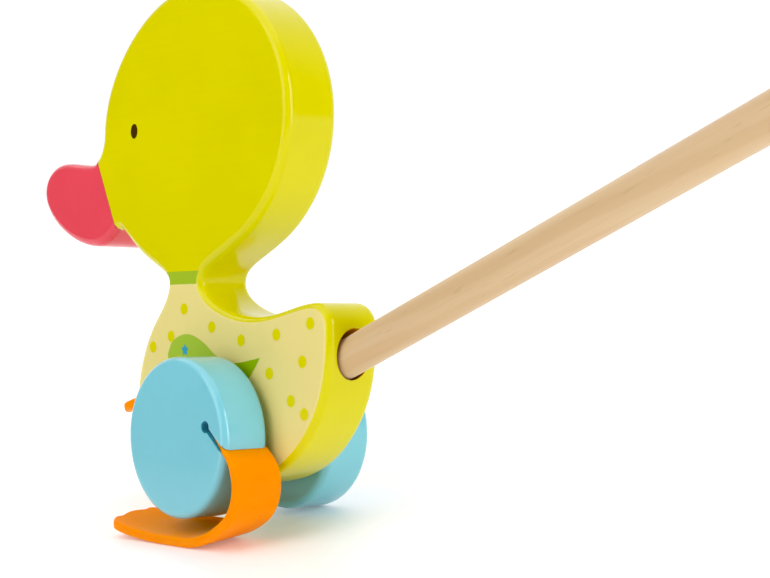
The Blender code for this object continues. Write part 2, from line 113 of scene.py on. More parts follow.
# Rubber feet: a bead and a tongue in the wheel, then a strap that ends in three toes
FOOT_LENGTH = 0.1020
FOOT_THICKNESS = 0.0038
FOOT_EDGE = 0.0010
FOOT_FLARE = 0.0010
TONGUE_GAP = 0.0001
TONGUE_RECESS = 0.0008
TONGUE_TAPER = 0.0008
BEAD_RECESS = 0.0060
BEAD_OVERHANG = 0.0005
SHOULDER_INSET = 0.0022
SHOULDER_TAPER = 0.0020
TONGUE_STEP = 0.0013
ROOT_TAPER = 0.0100
STRAIGHT_ROOT = 0.0008
TOE_NOTCH = 0.0015
TOE_STEP = 0.0012
TOE_FLARE_AT = 0.0055
TOE_FLARE_FROM = 0.0240
NOTCH_PLACE = 0.50
OUTER_TOE_PLACE = 0.78
SOLE_DROP = 0.0049
LEFT_BEND_RADIUS = 0.0150
RIGHT_BEND_RADIUS = 0.0090
HEEL_TURN = math.radians(55.0)
HEEL_SHARE = 0.75
SOLE_FLAT = 0.0130
TOE_CURL_RADIUS = 0.1300
HEEL_PAD = 0.0015
HEEL_LIP = 0.0019
HEEL_LIP_WIDTH = 0.0014
LIP_CUTS = (0.3, 0.6, 1.0, 2.0, 4.0, 8.0)
HEEL_PAD_LENGTH = 0.0340
HEEL_PAD_FADE = 1.6
DROOP = math.radians(4.0)
TWISTED_STRETCHES = 4

# Handle, screwed into the tail
HANDLE_RADIUS = 0.0070
HANDLE_LENGTH = 0.5000
HANDLE_RISE = math.radians(21.5)
HANDLE_MOUTH_Z = 0.0313
HANDLE_DOME = 0.0050
HANDLE_EDGE = 0.0006
HANDLE_SAG = 0.0004
SOCKET_RADIUS = 0.0083
SOCKET_DEPTH = 0.0300
STUD_RADIUS = 0.0030
STUD_IN_ROD = 0.0200
INSERT_RADIUS = 0.0050
INSERT_LENGTH = 0.0150

# Print on the two sides of the board; places are (x, z)
PRINT_LIFT = 0.00003
PRINT_WRAP = 0.0004
SIDEWAYS = 0.5
COLLAR_BOTTOM = 0.0580
COLLAR_TOP = 0.0631
DOT_RADIUS = 0.00225
DOTS = (
    (0.0252, 0.0483), (0.0075, 0.0411), (0.0338, 0.0376), (0.0459, 0.0333), (-0.0105, 0.0360),
    (-0.0311, 0.0381), (-0.0501, 0.0421), (-0.0457, 0.0283), (-0.0271, 0.0238), (-0.0393, 0.0140),
    (-0.0467, 0.0094), (0.0497, 0.0185), (0.0432, 0.0030), (0.0290, -0.0075),
)
WING = (
    (0.0357, 0.0293), (0.0350, 0.0321), (0.0331, 0.0353), (0.0291, 0.0374), (0.0238, 0.0384),
    (0.0187, 0.0376), (0.0123, 0.0349), (0.0053, 0.0304), (-0.0020, 0.0276), (-0.0088, 0.0275),
    (-0.0216, 0.0295), (-0.0160, 0.0227), (-0.0060, 0.0140), (0.0090, 0.0100), (0.0240, 0.0130),
    (0.0330, 0.0205),
)
WING_CORNERS = (10,)
WING_SHADE_FROM = 0.005
WING_SHADE_TO = -0.010
FLOWER_AT = (0.0245, 0.0322)
FLOWER_RADIUS = 0.0022
FLOWER_DEPTH = 0.20
EYE_AT = (0.0593, 0.1214)
EYE_WIDTH = 0.0047
EYE_HEIGHT = 0.0061

# Material slots after the paint, on the board and on a wheel
CREAM_SLOT = 1
COLLAR_SLOT = 2
SOCKET_SLOT = 3
KEYHOLE_SLOT = 1

# Fineness
OUTLINE_STEPS = 26
ROUND_STEPS = 7
WHEEL_SIDES = 160
RIM_STEPS = 10
ROD_SIDES = 64
ROD_RINGS = 24
DOME_STEPS = 14
HOLE_SIDES = 64
BEAD_SIDES = 32
FOOT_STATIONS = 110
FOOT_OUTLINE_STEPS = 10
FOOT_ROUND_STEPS = 3
FLOOR_SIDES = 96
BEVEL_STEPS = 2
BEVEL_FROM = math.radians(50)
FLAT_WITHIN = math.radians(0.05)
FOOT_FLAT_WITHIN = math.radians(0.3)
SHARP_FROM = math.radians(38)
FLAT_FACE_WEIGHT = 80

# Camera and studio
EYE = Vector((-0.48323, 0.38911, 0.03846))
VIEW_TURN = math.radians(226.3116)
VIEW_RISE = math.radians(-1.5881)
VIEW_ROLL = math.radians(-0.1853)
FOCAL_PIXELS = 1599.87
PICTURE_WIDTH = 770
SENSOR = 36.0
CLIP_START = 0.01
FLOOR_RADIUS = 8.0
# The floor glows though it is no lamp: painted light that lightens its shadows near the toy and
# whitens it far off
FLOOR_GLOW = 0.13
FAR_FLOOR_GLOW = 0.40
GLOW_NEAR = 0.5
GLOW_FAR = 1.6
STRIP_DISTANCE = 2.60
STRIP_AIM_RISE = 0.06
LEFT_STRIP = {"turn": -3.0, "rise": 28.0, "width": 1.80, "height": 2.70, "radiance": 2.25}
RIGHT_STRIP = {"turn": 97.0, "rise": 15.0, "width": 1.13, "height": 1.92, "radiance": 5.4}
BACKDROP_TURN = 216.0
BACKDROP_LIGHT = 1.02
BACKDROP_EDGE = (0.17, 0.74)
WALL_LIGHT = 0.12
CEILING_LIGHT = 0.45
CEILING_EDGE = (0.55, 0.85)
OVERHEAD_LIGHT = 1.35
OVERHEAD_SPREAD = math.radians(80)
OVERHEAD_FROM = (0.45, -0.15, 2.2)
BLACK_LEVEL = (0.0, 0.0, 0.012)

# Finishes
PAINT_SPECULAR = 0.1
PAINT_GLOSS = 0.8
PAINT_INDEX = 1.35
WHEEL_GLOSS = 1.0
WHEEL_INDEX = 1.5
BOARD_GRAIN = (14, 700, 700)
BEAK_GRAIN = (700, 700, 16)
WHEEL_GRAIN = (260, 30, 260)
RING_SPACING = 0.0085
RING_OFFSET = 0.016
RING_LEAN = math.radians(2.6)
RUBBER_CLOUDINESS = 0.5
RUBBER_GLOW = (1.0, 0.22, 0.05)
RUBBER_GLOW_DEPTH = 0.006

# Colours, sRGB
YELLOW = (214, 205, 0)
RED = (228, 67, 88)
BLUE = (120, 197, 212)
CREAM = (230, 214, 136)
COLLAR_GREEN = (156, 184, 42)
WING_LIGHT = (160, 190, 60)
WING_DARK = (138, 174, 0)
DOT_YELLOW = (216, 206, 0)
FLOWER_BLUE = (44, 158, 188)
EYE_BROWN = (58, 32, 12)
ORANGE = (255, 142, 4)
BEECH_LIGHT = (212, 182, 142)
BEECH_DARK = (203, 168, 126)
# Inside of the handle's socket: bare wood, deeper orange-brown than beech as painted shade of the hole
SOCKET_WOOD_AND_SHADE = (224, 142, 40)
# Inside of the keyhole and saw cut: the wheel's blue made darker, painted shade of the hollow
KEYHOLE_SHADE_TEAL = (60, 168, 200)
NYLON = (232, 232, 228)
ZINC = (196, 198, 202)
BRASS = (214, 180, 110)

# Derived
PANEL_HALF = PANEL_THICKNESS / 2
WHEEL_INNER_FACE = PANEL_HALF + WASHER_THICKNESS + 2 * RUNNING_GAP
WHEEL_MIDDLE = WHEEL_INNER_FACE + WHEEL_WIDTH / 2
TONGUE_THICKNESS = SLOT_WIDTH - 2 * TONGUE_GAP
SIDE_VIEW = Matrix.Rotation(math.radians(90), 4, "X")
AXLE_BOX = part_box("axle")
AXLE = (Vector(AXLE_BOX[0]) + Vector(AXLE_BOX[1])) / 2
TURNED_ABOUT = Matrix.Rotation(-RIGHT_WHEEL_TURN, 4, "Y") @ Matrix.Rotation(math.radians(180), 4, "Z")


def standing_lean():
    """Lean of a toy that stands on its left sole and on the outer edge of its right wheel."""
    apart = WHEEL_MIDDLE + WHEEL_INNER_FACE + WHEEL_WIDTH - WHEEL_ROUNDING
    below = SOLE_DROP + FOOT_THICKNESS / 2 + WHEEL_ROUNDING
    thicker = FOOT_THICKNESS / 2 - WHEEL_ROUNDING
    return math.atan2(below, apart) + math.asin(thicker / math.hypot(below, apart))


def arc_reach(angle):
    """Reach of a Bezier knot over an angle in degrees, on an arc of radius 1."""
    return 4 / 3 * math.tan(math.radians(angle) / 4)


QUARTER_ARC = arc_reach(90)
LEAN = standing_lean()
TOY = Matrix.Translation(AXLE) @ Matrix.Rotation(LEAN, 4, "X")


# Material helpers

def linear(colour):
    """Scene-linear version of an sRGB colour given in 0 to 255."""
    parts = [part / 255 for part in colour]
    return tuple(((p + 0.055) / 1.055) ** 2.4 if p > 0.04045 else p / 12.92 for p in parts)


def scaled(colour, factor):
    """Colour made lighter or darker."""
    return tuple(part * factor for part in colour)


def set_inputs(node, values):
    """Set a node's own values by the names of its sockets."""
    for name, value in values.items():
        node.inputs[name].default_value = value


def start_material(name, specular):
    """New Principled material: (material, node tree, shader, object coordinates)."""
    made = bpy.data.materials.new(name)
    made.use_nodes = True
    tree = made.node_tree
    shader = tree.nodes["Principled BSDF"]
    set_inputs(shader, {"Specular IOR Level": specular})
    coords = tree.nodes.new("ShaderNodeTexCoord").outputs["Object"]
    return made, tree, shader, coords


def add_noise(tree, coords, scale=1, stretch=(1, 1, 1), detail=3):
    """Noise over object coordinates, squeezed along each axis by the stretch."""
    mapping = tree.nodes.new("ShaderNodeMapping")
    set_inputs(mapping, {"Scale": stretch})
    texture = tree.nodes.new("ShaderNodeTexNoise")
    set_inputs(texture, {"Scale": scale, "Detail": detail})
    tree.links.new(coords, mapping.inputs["Vector"])
    tree.links.new(mapping.outputs["Vector"], texture.inputs["Vector"])
    return texture.outputs["Fac"]


def spread(tree, value, low=0, high=1, start=0.3, end=0.7):
    """Value mapped from start and end to low and high, and held beyond them."""
    item = tree.nodes.new("ShaderNodeMapRange")
    tree.links.new(value, item.inputs["Value"])
    set_inputs(item, {"From Min": start, "From Max": end, "To Min": low, "To Max": high})
    return item.outputs["Result"]


def mix_colours(tree, value, first, second):
    """Colour between two; each is a colour or a socket."""
    item = tree.nodes.new("ShaderNodeMix")
    item.data_type = "RGBA"
    tree.links.new(value, item.inputs[0])
    for socket, colour in ((item.inputs[6], first), (item.inputs[7], second)):
        if isinstance(colour, tuple):
            socket.default_value = (*colour, 1.0)
        else:
            tree.links.new(colour, socket)
    return item.outputs[2]


def add_bumps(tree, shader, *heights):
    """Chain of bumps on the shader's normal: each is (height, strength, distance)."""
    below = None
    for height, strength, distance in heights:
        item = tree.nodes.new("ShaderNodeBump")
        set_inputs(item, {"Strength": strength, "Distance": distance})
        tree.links.new(height, item.inputs["Height"])
        if below:
            tree.links.new(below, item.inputs["Normal"])
        below = item.outputs["Normal"]
    tree.links.new(below, shader.inputs["Normal"])


def add_clouds(tree, coords, base, darkest, lightest, scale, detail=3):
    """Base colour clouded between two shades of it."""
    cloud = spread(tree, add_noise(tree, coords, scale, detail=detail))
    return mix_colours(tree, cloud, scaled(base, darkest), scaled(base, lightest))


def set_colour(tree, shader, colour):
    """Colour of the shader from a socket."""
    tree.links.new(colour, shader.inputs["Base Color"])


def set_roughness(tree, shader, value, low, high):
    """Roughness of the shader that follows a value."""
    tree.links.new(spread(tree, value, low, high), shader.inputs["Roughness"])


# Materials

def lacquer(name, colour, grain, gloss=PAINT_GLOSS, index=PAINT_INDEX):
    """Glossy paint on wood: soft mottling, grain just showing through, and orange peel."""
    made, tree, shader, coords = start_material(name, PAINT_SPECULAR)
    set_inputs(shader, {"Coat Weight": gloss, "Coat IOR": index, "Coat Roughness": 0.12})
    base = linear(colour)
    tone = add_clouds(tree, coords, base, darkest=0.97, lightest=1.03, scale=22)
    streak = add_noise(tree, coords, stretch=grain, detail=4)
    shade = spread(tree, streak, high=0.06, start=0.45, end=0.75)
    set_colour(tree, shader, mix_colours(tree, shade, tone, scaled(base, 0.72)))
    set_roughness(tree, shader, add_noise(tree, coords, scale=90), low=0.30, high=0.42)
    peel = add_noise(tree, coords, scale=750, detail=1)
    add_bumps(tree, shader, (streak, 0.05, 0.0003), (peel, 0.04, 0.0002))
    return made


def print_ink(name, colour):
    """Printed colour under the same lacquer, with a fine screen-print mottle."""
    made, tree, shader, coords = start_material(name, PAINT_SPECULAR)
    set_inputs(shader, {"Coat Weight": 0.2, "Coat Roughness": 0.16})
    base = linear(colour)
    tone = add_clouds(tree, coords, base, darkest=0.975, lightest=1.02, scale=30)
    speck = add_noise(tree, coords, scale=900, detail=2)
    shade = spread(tree, speck, high=0.05, start=0.5, end=0.8)
    set_colour(tree, shader, mix_colours(tree, shade, tone, scaled(base, 0.8)))
    set_roughness(tree, shader, add_noise(tree, coords, scale=90), low=0.36, high=0.48)
    add_bumps(tree, shader, (add_noise(tree, coords, scale=700, detail=1), 0.04, 0.0002))
    return made


def shaded_ink(name, front, back, front_x, back_x):
    """Printed colour that runs from one tone to another along the board."""
    made = print_ink(name, front)
    tree = made.node_tree
    shader = tree.nodes["Principled BSDF"]
    coords = tree.nodes["Texture Coordinate"].outputs["Object"]
    apart = tree.nodes.new("ShaderNodeSeparateXYZ")
    tree.links.new(coords, apart.inputs["Vector"])
    along = spread(tree, apart.outputs["X"], low=1, high=0, start=back_x, end=front_x)
    tone = shader.inputs["Base Color"].links[0].from_socket
    set_colour(tree, shader, mix_colours(tree, along, tone, linear(back)))
    return made


def add_rings(tree, coords, spacing, offset, lean):
    """Growth rings in long arches, about an axis beside the piece that leans from local Z."""
    place = tree.nodes.new("ShaderNodeMapping")
    set_inputs(place, {"Location": (offset, 0.0, 0.0), "Rotation": (0.0, lean, 0.0)})
    tree.links.new(coords, place.inputs["Vector"])
    rings = tree.nodes.new("ShaderNodeTexWave")
    rings.wave_type = "RINGS"
    rings.rings_direction = "Z"
    scale = math.tau / (20 * spacing)
    set_inputs(rings, {"Scale": scale, "Distortion": 2.6, "Detail": 2.0, "Detail Scale": 0.35})
    tree.links.new(place.outputs["Vector"], rings.inputs["Vector"])
    return rings.outputs["Fac"]


def beech(name, light, dark):
    """Waxed beech with its grain along local Z: arched rings, faint lines and a few short flecks."""
    made, tree, shader, coords = start_material(name, specular=0.35)
    set_inputs(shader, {"Sheen Weight": 0.30, "Sheen Roughness": 0.4})
    pale, deep = linear(light), linear(dark)
    rings = spread(tree, add_rings(tree, coords, RING_SPACING, RING_OFFSET, RING_LEAN), high=0.6)
    broad = add_noise(tree, coords, stretch=(160, 160, 8))
    fine = add_noise(tree, coords, stretch=(1500, 1500, 22), detail=4)
    fleck = add_noise(tree, coords, stretch=(1100, 1100, 120), detail=1)
    bands = spread(tree, broad, high=0.55, start=0.36, end=0.68)
    lines = spread(tree, fine, high=0.16, start=0.5, end=0.75)
    dashes = spread(tree, fleck, high=0.24, start=0.68, end=0.78)
    wood = mix_colours(tree, rings, pale, deep)
    wood = mix_colours(tree, bands, wood, deep)
    wood = mix_colours(tree, lines, wood, scaled(deep, 0.78))
    wood = mix_colours(tree, dashes, wood, scaled(deep, 0.55))
    set_colour(tree, shader, wood)
    set_roughness(tree, shader, fine, low=0.46, high=0.62)
    add_bumps(tree, shader, (fine, 0.12, 0.0002), (fleck, 0.08, 0.0002))
    return made


def hollow_with_shade(name, colour):
    """Rough inside of a bored hole or a saw cut, with tool marks, in a colour darker than the surface
    round the hole: painted shade of the hollow.
    """
    made, tree, shader, coords = start_material(name, specular=0.1)
    base = linear(colour)
    fibre = add_noise(tree, coords, scale=900, stretch=(1, 0.3, 1), detail=4)
    tone = mix_colours(tree, spread(tree, fibre), scaled(base, 0.8), scaled(base, 1.1))
    set_colour(tree, shader, tone)
    set_roughness(tree, shader, fibre, low=0.7, high=0.9)
    add_bumps(tree, shader, (fibre, 0.3, 0.0002))
    return made


def rubber(name, colour):
    """Moulded rubber: matt skin over a cloudy inside, a faint grain, paler where it is rubbed."""
    made, tree, shader, coords = start_material(name, specular=0.12)
    set_inputs(shader, {
        "Subsurface Weight": RUBBER_CLOUDINESS,
        "Subsurface Radius": RUBBER_GLOW,
        "Subsurface Scale": RUBBER_GLOW_DEPTH,
    })
    base = linear(colour)
    tone = add_clouds(tree, coords, base, darkest=0.96, lightest=1.02, scale=35, detail=4)
    rub = add_noise(tree, coords, scale=160, stretch=(1, 0.25, 1), detail=5)
    rubbed = spread(tree, rub, high=0.06, start=0.55, end=0.8)
    paler = tuple(min(1.0, part * 1.1 + 0.03) for part in base)
    set_colour(tree, shader, mix_colours(tree, rubbed, tone, paler))
    set_roughness(tree, shader, add_noise(tree, coords, scale=120), low=0.44, high=0.56)
    skin = add_noise(tree, coords, scale=2600, detail=2)
    wave = add_noise(tree, coords, scale=140, detail=1)
    add_bumps(tree, shader, (wave, 0.05, 0.0006), (skin, 0.10, 0.0001))
    return made


def nylon(name, colour):
    """Milky moulded plastic."""
    made, tree, shader, coords = start_material(name, specular=0.45)
    tone = add_clouds(tree, coords, linear(colour), darkest=0.95, lightest=1.0, scale=140)
    set_colour(tree, shader, tone)
    set_roughness(tree, shader, add_noise(tree, coords, scale=400), low=0.35, high=0.5)
    add_bumps(tree, shader, (add_noise(tree, coords, scale=1500), 0.05, 0.0001))
    return made


def metal(name, colour):
    """Plated metal with fine turning marks round its length."""
    made, tree, shader, coords = start_material(name, specular=0.5)
    set_inputs(shader, {"Metallic": 1.0})
    base = linear(colour)
    marks = add_noise(tree, coords, stretch=(60, 60, 2500), detail=2)
    set_colour(tree, shader, mix_colours(tree, spread(tree, marks), scaled(base, 0.9), base))
    set_roughness(tree, shader, marks, low=0.25, high=0.4)
    add_bumps(tree, shader, (marks, 0.1, 0.0001))
    return made


def glowing_floor_paper(name):
    """White sheet that glows with no lamp under it: painted light that lightens the shadows near the
    toy, with more glow away from the toy to whiten the far floor.
    """
    made, tree, shader, coords = start_material(name, specular=0.4)
    tone = spread(tree, add_noise(tree, coords, scale=3))
    set_colour(tree, shader, mix_colours(tree, tone, (0.90, 0.90, 0.90), (0.92, 0.92, 0.92)))
    set_inputs(shader, {"Roughness": 0.4, "Emission Color": (1.0, 1.0, 1.0, 1.0)})
    away = tree.nodes.new("ShaderNodeVectorMath")
    away.operation = "LENGTH"
    tree.links.new(coords, away.inputs[0])
    distance = away.outputs["Value"]
    # Painted light: the floor's own glow, weaker near the toy and stronger away from it
    glow = spread(tree, distance, FLOOR_GLOW, FAR_FLOOR_GLOW, GLOW_NEAR, GLOW_FAR)
    tree.links.new(glow, shader.inputs["Emission Strength"])
    return made


# Mesh helpers

def ease(share):
    """Smooth step from 0 to 1."""
    held = min(max(share, 0.0), 1.0)
    return held * held * (3 - 2 * held)


def link(name, data, place=None):
    """Object in the scene for a mesh, a curve, a light or a camera."""
    item = bpy.data.objects.new(name, data)
    bpy.context.scene.collection.objects.link(item)
    item.matrix_world = place or Matrix.Identity(4)
    return item


def shaped_mesh(item):
    """Mesh of an object as its modifiers shape it, in world coordinates; the object goes."""
    bpy.context.view_layer.update()
    mesh = bpy.data.meshes.new_from_object(item.evaluated_get(bpy.context.evaluated_depsgraph_get()))
    mesh.transform(item.matrix_world)
    bpy.data.objects.remove(item, do_unlink=True)
    return mesh


def start_work(mesh):
    """Working copy of a mesh."""
    work = bmesh.new()
    work.from_mesh(mesh)
    return work


def end_work(work, mesh):
    """Mesh with what the working copy holds."""
    work.to_mesh(mesh)
    work.free()
    return mesh


def slice_work(work, point, normal):
    """Cut all faces of a working copy along a plane."""
    everything = work.verts[:] + work.edges[:] + work.faces[:]
    bmesh.ops.bisect_plane(work, geom=everything, plane_co=point, plane_no=normal)


def turn_outwards(work):
    """Turn all faces of a closed working copy outwards."""
    bmesh.ops.recalc_face_normals(work, faces=work.faces)
    if work.calc_volume(signed=True) < 0:
        bmesh.ops.reverse_faces(work, faces=work.faces)


def tidy_mesh(mesh):
    """Mesh welded and with its normals outwards."""
    work = start_work(mesh)
    bmesh.ops.remove_doubles(work, verts=work.verts, dist=WELD)
    turn_outwards(work)
    return end_work(work, mesh)


def drop_folds(mesh):
    """Mesh in triangles, without slivers, open flaps or triangles that lie back to back."""
    work = start_work(mesh)
    bmesh.ops.remove_doubles(work, verts=work.verts, dist=WELD)
    bmesh.ops.triangulate(work, faces=work.faces)
    bmesh.ops.dissolve_degenerate(work, dist=WELD, edges=work.edges)
    bmesh.ops.triangulate(work, faces=work.faces)
    corners = {}
    for face in work.faces:
        corners.setdefault(frozenset(face.verts), []).append(face)
    folded = [face for faces in corners.values() if len(faces) > 1 for face in faces]
    bmesh.ops.delete(work, geom=folded, context="FACES")
    flaps = [face for face in work.faces if any(edge.is_boundary for edge in face.edges)]
    bmesh.ops.delete(work, geom=flaps, context="FACES")
    turn_outwards(work)
    return end_work(work, mesh)


def cut_mesh(mesh, place, tools, edge=0.0):
    """Mesh after Booleans with (mesh, place, operation) tools, with the new sharp edges eased."""
    item = link("work", mesh, place)
    helpers = []
    for tool, where, operation in tools:
        helper = link("tool", tool, where)
        helpers.append(helper)
        cut = item.modifiers.new("cut", "BOOLEAN")
        cut.operation = operation
        cut.solver = "EXACT"
        cut.object = helper
    item.modifiers.new("weld", "WELD").merge_threshold = WELD
    if edge:
        flat = item.modifiers.new("flat", "DECIMATE")
        flat.decimate_type = "DISSOLVE"
        flat.angle_limit = FLAT_WITHIN
        bevel = item.modifiers.new("bevel", "BEVEL")
        bevel.width = edge
        bevel.segments = BEVEL_STEPS
        bevel.limit_method = "ANGLE"
        bevel.angle_limit = BEVEL_FROM
        bevel.use_clamp_overlap = False
    done = shaped_mesh(item)
    for helper in helpers:
        bpy.data.objects.remove(helper, do_unlink=True)
    return done


def add_piece(name, mesh, place, body, slot, *materials):
    """Finished piece, smooth and riding on a body; its slot argument is not used."""
    item = link(name, mesh, place)
    numbers = [face.material_index for face in mesh.polygons]
    mesh.materials.clear()
    for material in materials:
        mesh.materials.append(material)
    mesh.polygons.foreach_set("material_index", numbers)
    mesh.shade_smooth()
    mesh.set_sharp_from_angle(angle=SHARP_FROM)
    even = item.modifiers.new("even normals", "WEIGHTED_NORMAL")
    even.keep_sharp = True
    even.weight = FLAT_FACE_WEIGHT
    if body:
        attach(item, body)
    return item


def turned_mesh(profile, sides):
    """Closed skin of a profile of (radius, height) turned about local Z."""
    work = bmesh.new()
    turns = [math.tau * i / sides for i in range(sides)]
    rings = []
    for radius, height in profile:
        around = turns if radius else turns[:1]
        places = [(radius * math.cos(turn), radius * math.sin(turn), height) for turn in around]
        rings.append([work.verts.new(place) for place in places])
    for upper, lower in zip(rings, rings[1:]):
        for i in range(sides):
            loop = ((upper, i), (lower, i), (lower, i + 1), (upper, i + 1))
            corners = [ring[k % len(ring)] for ring, k in loop]
            work.faces.new(list(dict.fromkeys(corners)))
    turn_outwards(work)
    return end_work(work, bpy.data.meshes.new("turned"))


def cylinder_mesh(radius, bottom, top, sides=HOLE_SIDES):
    """Solid cylinder about local Z."""
    return turned_mesh([(0.0, top), (radius, top), (radius, bottom), (0.0, bottom)], sides)


def box_mesh(low, high):
    """Solid box between two corners."""
    work = bmesh.new()
    size = Vector(high) - Vector(low)
    middle = (Vector(high) + Vector(low)) / 2
    place = Matrix.Translation(middle) @ Matrix.Diagonal((*size, 1.0))
    bmesh.ops.create_cube(work, size=1.0, matrix=place)
    return end_work(work, bpy.data.meshes.new("box"))


def arc(centre_radius, centre_height, size, start, end, steps):
    """Points of a rounded corner on a turned profile, angles in degrees from outwards."""
    points = []
    for i in range(steps + 1):
        angle = math.radians(start + (end - start) * i / steps)
        radius = centre_radius + size * math.cos(angle)
        points.append((radius, centre_height + size * math.sin(angle)))
    return points


def outline_mesh(knots, half_thickness, rounding, rounding_steps, steps):
    """Flat outline of Bezier knots in local XY, extruded both ways along Z with rounded edges.

    A knot is (x, y, heading, reach behind, reach ahead), with the heading in degrees.
    """
    data = bpy.data.curves.new("outline", "CURVE")
    data.dimensions = "2D"
    data.fill_mode = "BOTH"
    data.extrude = half_thickness - rounding
    data.bevel_depth = rounding
    data.bevel_resolution = rounding_steps
    data.offset = -rounding
    data.resolution_u = steps
    data.render_resolution_u = 0
    spline = data.splines.new("BEZIER")
    spline.use_cyclic_u = True
    spline.bezier_points.add(len(knots) - 1)
    for point, (x, y, heading, behind, ahead) in zip(spline.bezier_points, knots):
        angle = math.radians(heading)
        along = Vector((math.cos(angle), math.sin(angle), 0.0))
        point.handle_left_type = "FREE"
        point.handle_right_type = "FREE"
        point.co = (x, y, 0.0)
        point.handle_left = point.co - along * behind
        point.handle_right = point.co + along * ahead
    return tidy_mesh(shaped_mesh(link("outline", data)))


# Board and beak

def head_knot(turn, arc_behind, arc_ahead):
    """Knot on the ellipse of the head, with the arcs to the knots next to it, in degrees."""
    angle = math.radians(turn)
    along = Vector((-HEAD_LENGTH / 2 * math.sin(angle), HEAD_HEIGHT / 2 * math.cos(angle)))
    heading = math.degrees(math.atan2(along.y, along.x))
    behind = along.length * arc_reach(arc_behind)
    ahead = along.length * arc_reach(arc_ahead)
    x = HEAD_X + HEAD_LENGTH / 2 * math.cos(angle)
    z = HEAD_Z + HEAD_HEIGHT / 2 * math.sin(angle)
    return (x, z, heading, behind, ahead)


def duck_knots():
    """Knots of the duck's side view with its beak, anticlockwise from the front of the head."""
    head_front = HEAD_X + HEAD_LENGTH / 2
    nape = NECK_X - NECK_WIDTH / 2
    throat = NECK_X + NECK_WIDTH / 2
    beak_tip = head_front + BEAK_LENGTH
    beak_top = HEAD_Z - BEAK_DROP + BEAK_DEPTH / 2
    beak_bottom = HEAD_Z - BEAK_DROP - BEAK_DEPTH / 2
    corner = TAIL_CORNER * QUARTER_ARC
    notch_x = head_front + BEAK_NOTCH_X
    notch_z = beak_bottom + BEAK_NOTCH_Z
    return [
        (head_front, HEAD_Z, 90, 0.0040, HEAD_HEIGHT / 2 * QUARTER_ARC * 0.90),
        head_knot(90, 84, 90),
        head_knot(180, 90, 60),
        head_knot(240, 60, 45),
        (nape, NECK_Z, 270, 0.0060, 0.0060),
        (SADDLE_X, SADDLE_Z, 180, 0.0170, 0.0130),
        (TAIL_CORNER - TAIL_REACH, TAIL_TOP, 180, 0.0100, corner),
        (-TAIL_REACH, TAIL_TOP - TAIL_CORNER, 270, corner, 0.0200),
        (-0.75 * TAIL_REACH, -0.0023, 313, 0.0160, 0.0160),
        (0.0, -BELLY_DEPTH, 0, 0.0170, 0.0330),
        (CHEST_REACH, CHEST_Z, 90, 0.0170, 0.0150),
        (throat + 0.0084, NECK_Z - 0.0140, 132, 0.0070, 0.0060),
        (throat, NECK_Z, 90, 0.0045, 0.0040),
        (throat + 0.0150, NECK_Z + 0.0107, 29, 0.0090, 0.0080),
        (notch_x - 0.0022, notch_z, 36, 0.0070, 0.0012),
        (notch_x + 0.0022, notch_z - 0.0004, 330, 0.0012, 0.0060),
        (head_front + 0.0046, beak_bottom + 0.0003, 0, 0.0060, 0.0200),
        (beak_tip, HEAD_Z - BEAK_DROP + 0.0067, 90, 0.0110, 0.0070),
        (beak_tip - 0.0145, beak_top, 180, 0.0080, 0.0080),
        (head_front + 0.0088, beak_top - 0.0020, 178, 0.0070, 0.0050),
    ]


def seam_frame():
    """Frame on the seam between head and beak: X out of the head, Z up the seam, Y across."""
    front = HEAD_X + HEAD_LENGTH / 2
    middle = Vector((front - SEAM_SET_BACK, 0.0, HEAD_Z - BEAK_DROP + SEAM_RISE))
    return Matrix.Translation(middle) @ Matrix.Rotation(SEAM_LEAN, 4, "Y")


def seam_tools(gap, operation):
    """Tools that part head and beak at the seam and drill both for the dowels."""
    seam = seam_frame()
    far = Vector((2 * BEAK_LENGTH, PANEL_THICKNESS, BEAK_DEPTH))
    tools = [(box_mesh((gap, -far.y, -far.z), far), seam, operation)]
    across = seam @ Matrix.Rotation(math.radians(90), 4, "Y")
    for side in (-1, 1):
        place = across @ Matrix.Translation((side * DOWEL_SPACING / 2, 0.0, 0.0))
        drill = cylinder_mesh(DOWEL_RADIUS + SEAT_GAP, -DOWEL_DEPTH, DOWEL_DEPTH)
        tools.append((drill, place, "DIFFERENCE"))
    return tools


def handle_frame():
    """Frame at the mouth of the handle's socket, Z out along the handle."""
    lean = Matrix.Rotation(HANDLE_RISE - math.radians(90), 4, "Y")
    return Matrix.Translation((-TAIL_REACH, 0.0, HANDLE_MOUTH_Z)) @ lean


def print_board(mesh):
    """Give the cream sides of the board and its collar their material slots."""
    work = start_work(mesh)
    for height in (COLLAR_BOTTOM, COLLAR_TOP):
        slice_work(work, (0, 0, height), (0, 0, 1))
    for face in work.faces:
        middle = face.calc_center_median()
        face.material_index = 0
        if abs(middle.y) < PANEL_HALF - PRINT_WRAP or abs(face.normal.y) < SIDEWAYS:
            continue
        if middle.z < COLLAR_BOTTOM:
            face.material_index = CREAM_SLOT
        elif middle.z < COLLAR_TOP:
            face.material_index = COLLAR_SLOT
    end_work(work, mesh)


def line_socket(mesh):
    """Give the inside of the handle's socket its material slot: bare wood, with painted shade."""
    to_socket = handle_frame().inverted()
    for face in mesh.polygons:
        middle = to_socket @ face.center
        facing = to_socket.to_3x3() @ face.normal
        if middle.xy.length < SOCKET_RADIUS + CUT_EDGE / 2 and abs(facing.z) < SIDEWAYS:
            face.material_index = SOCKET_SLOT


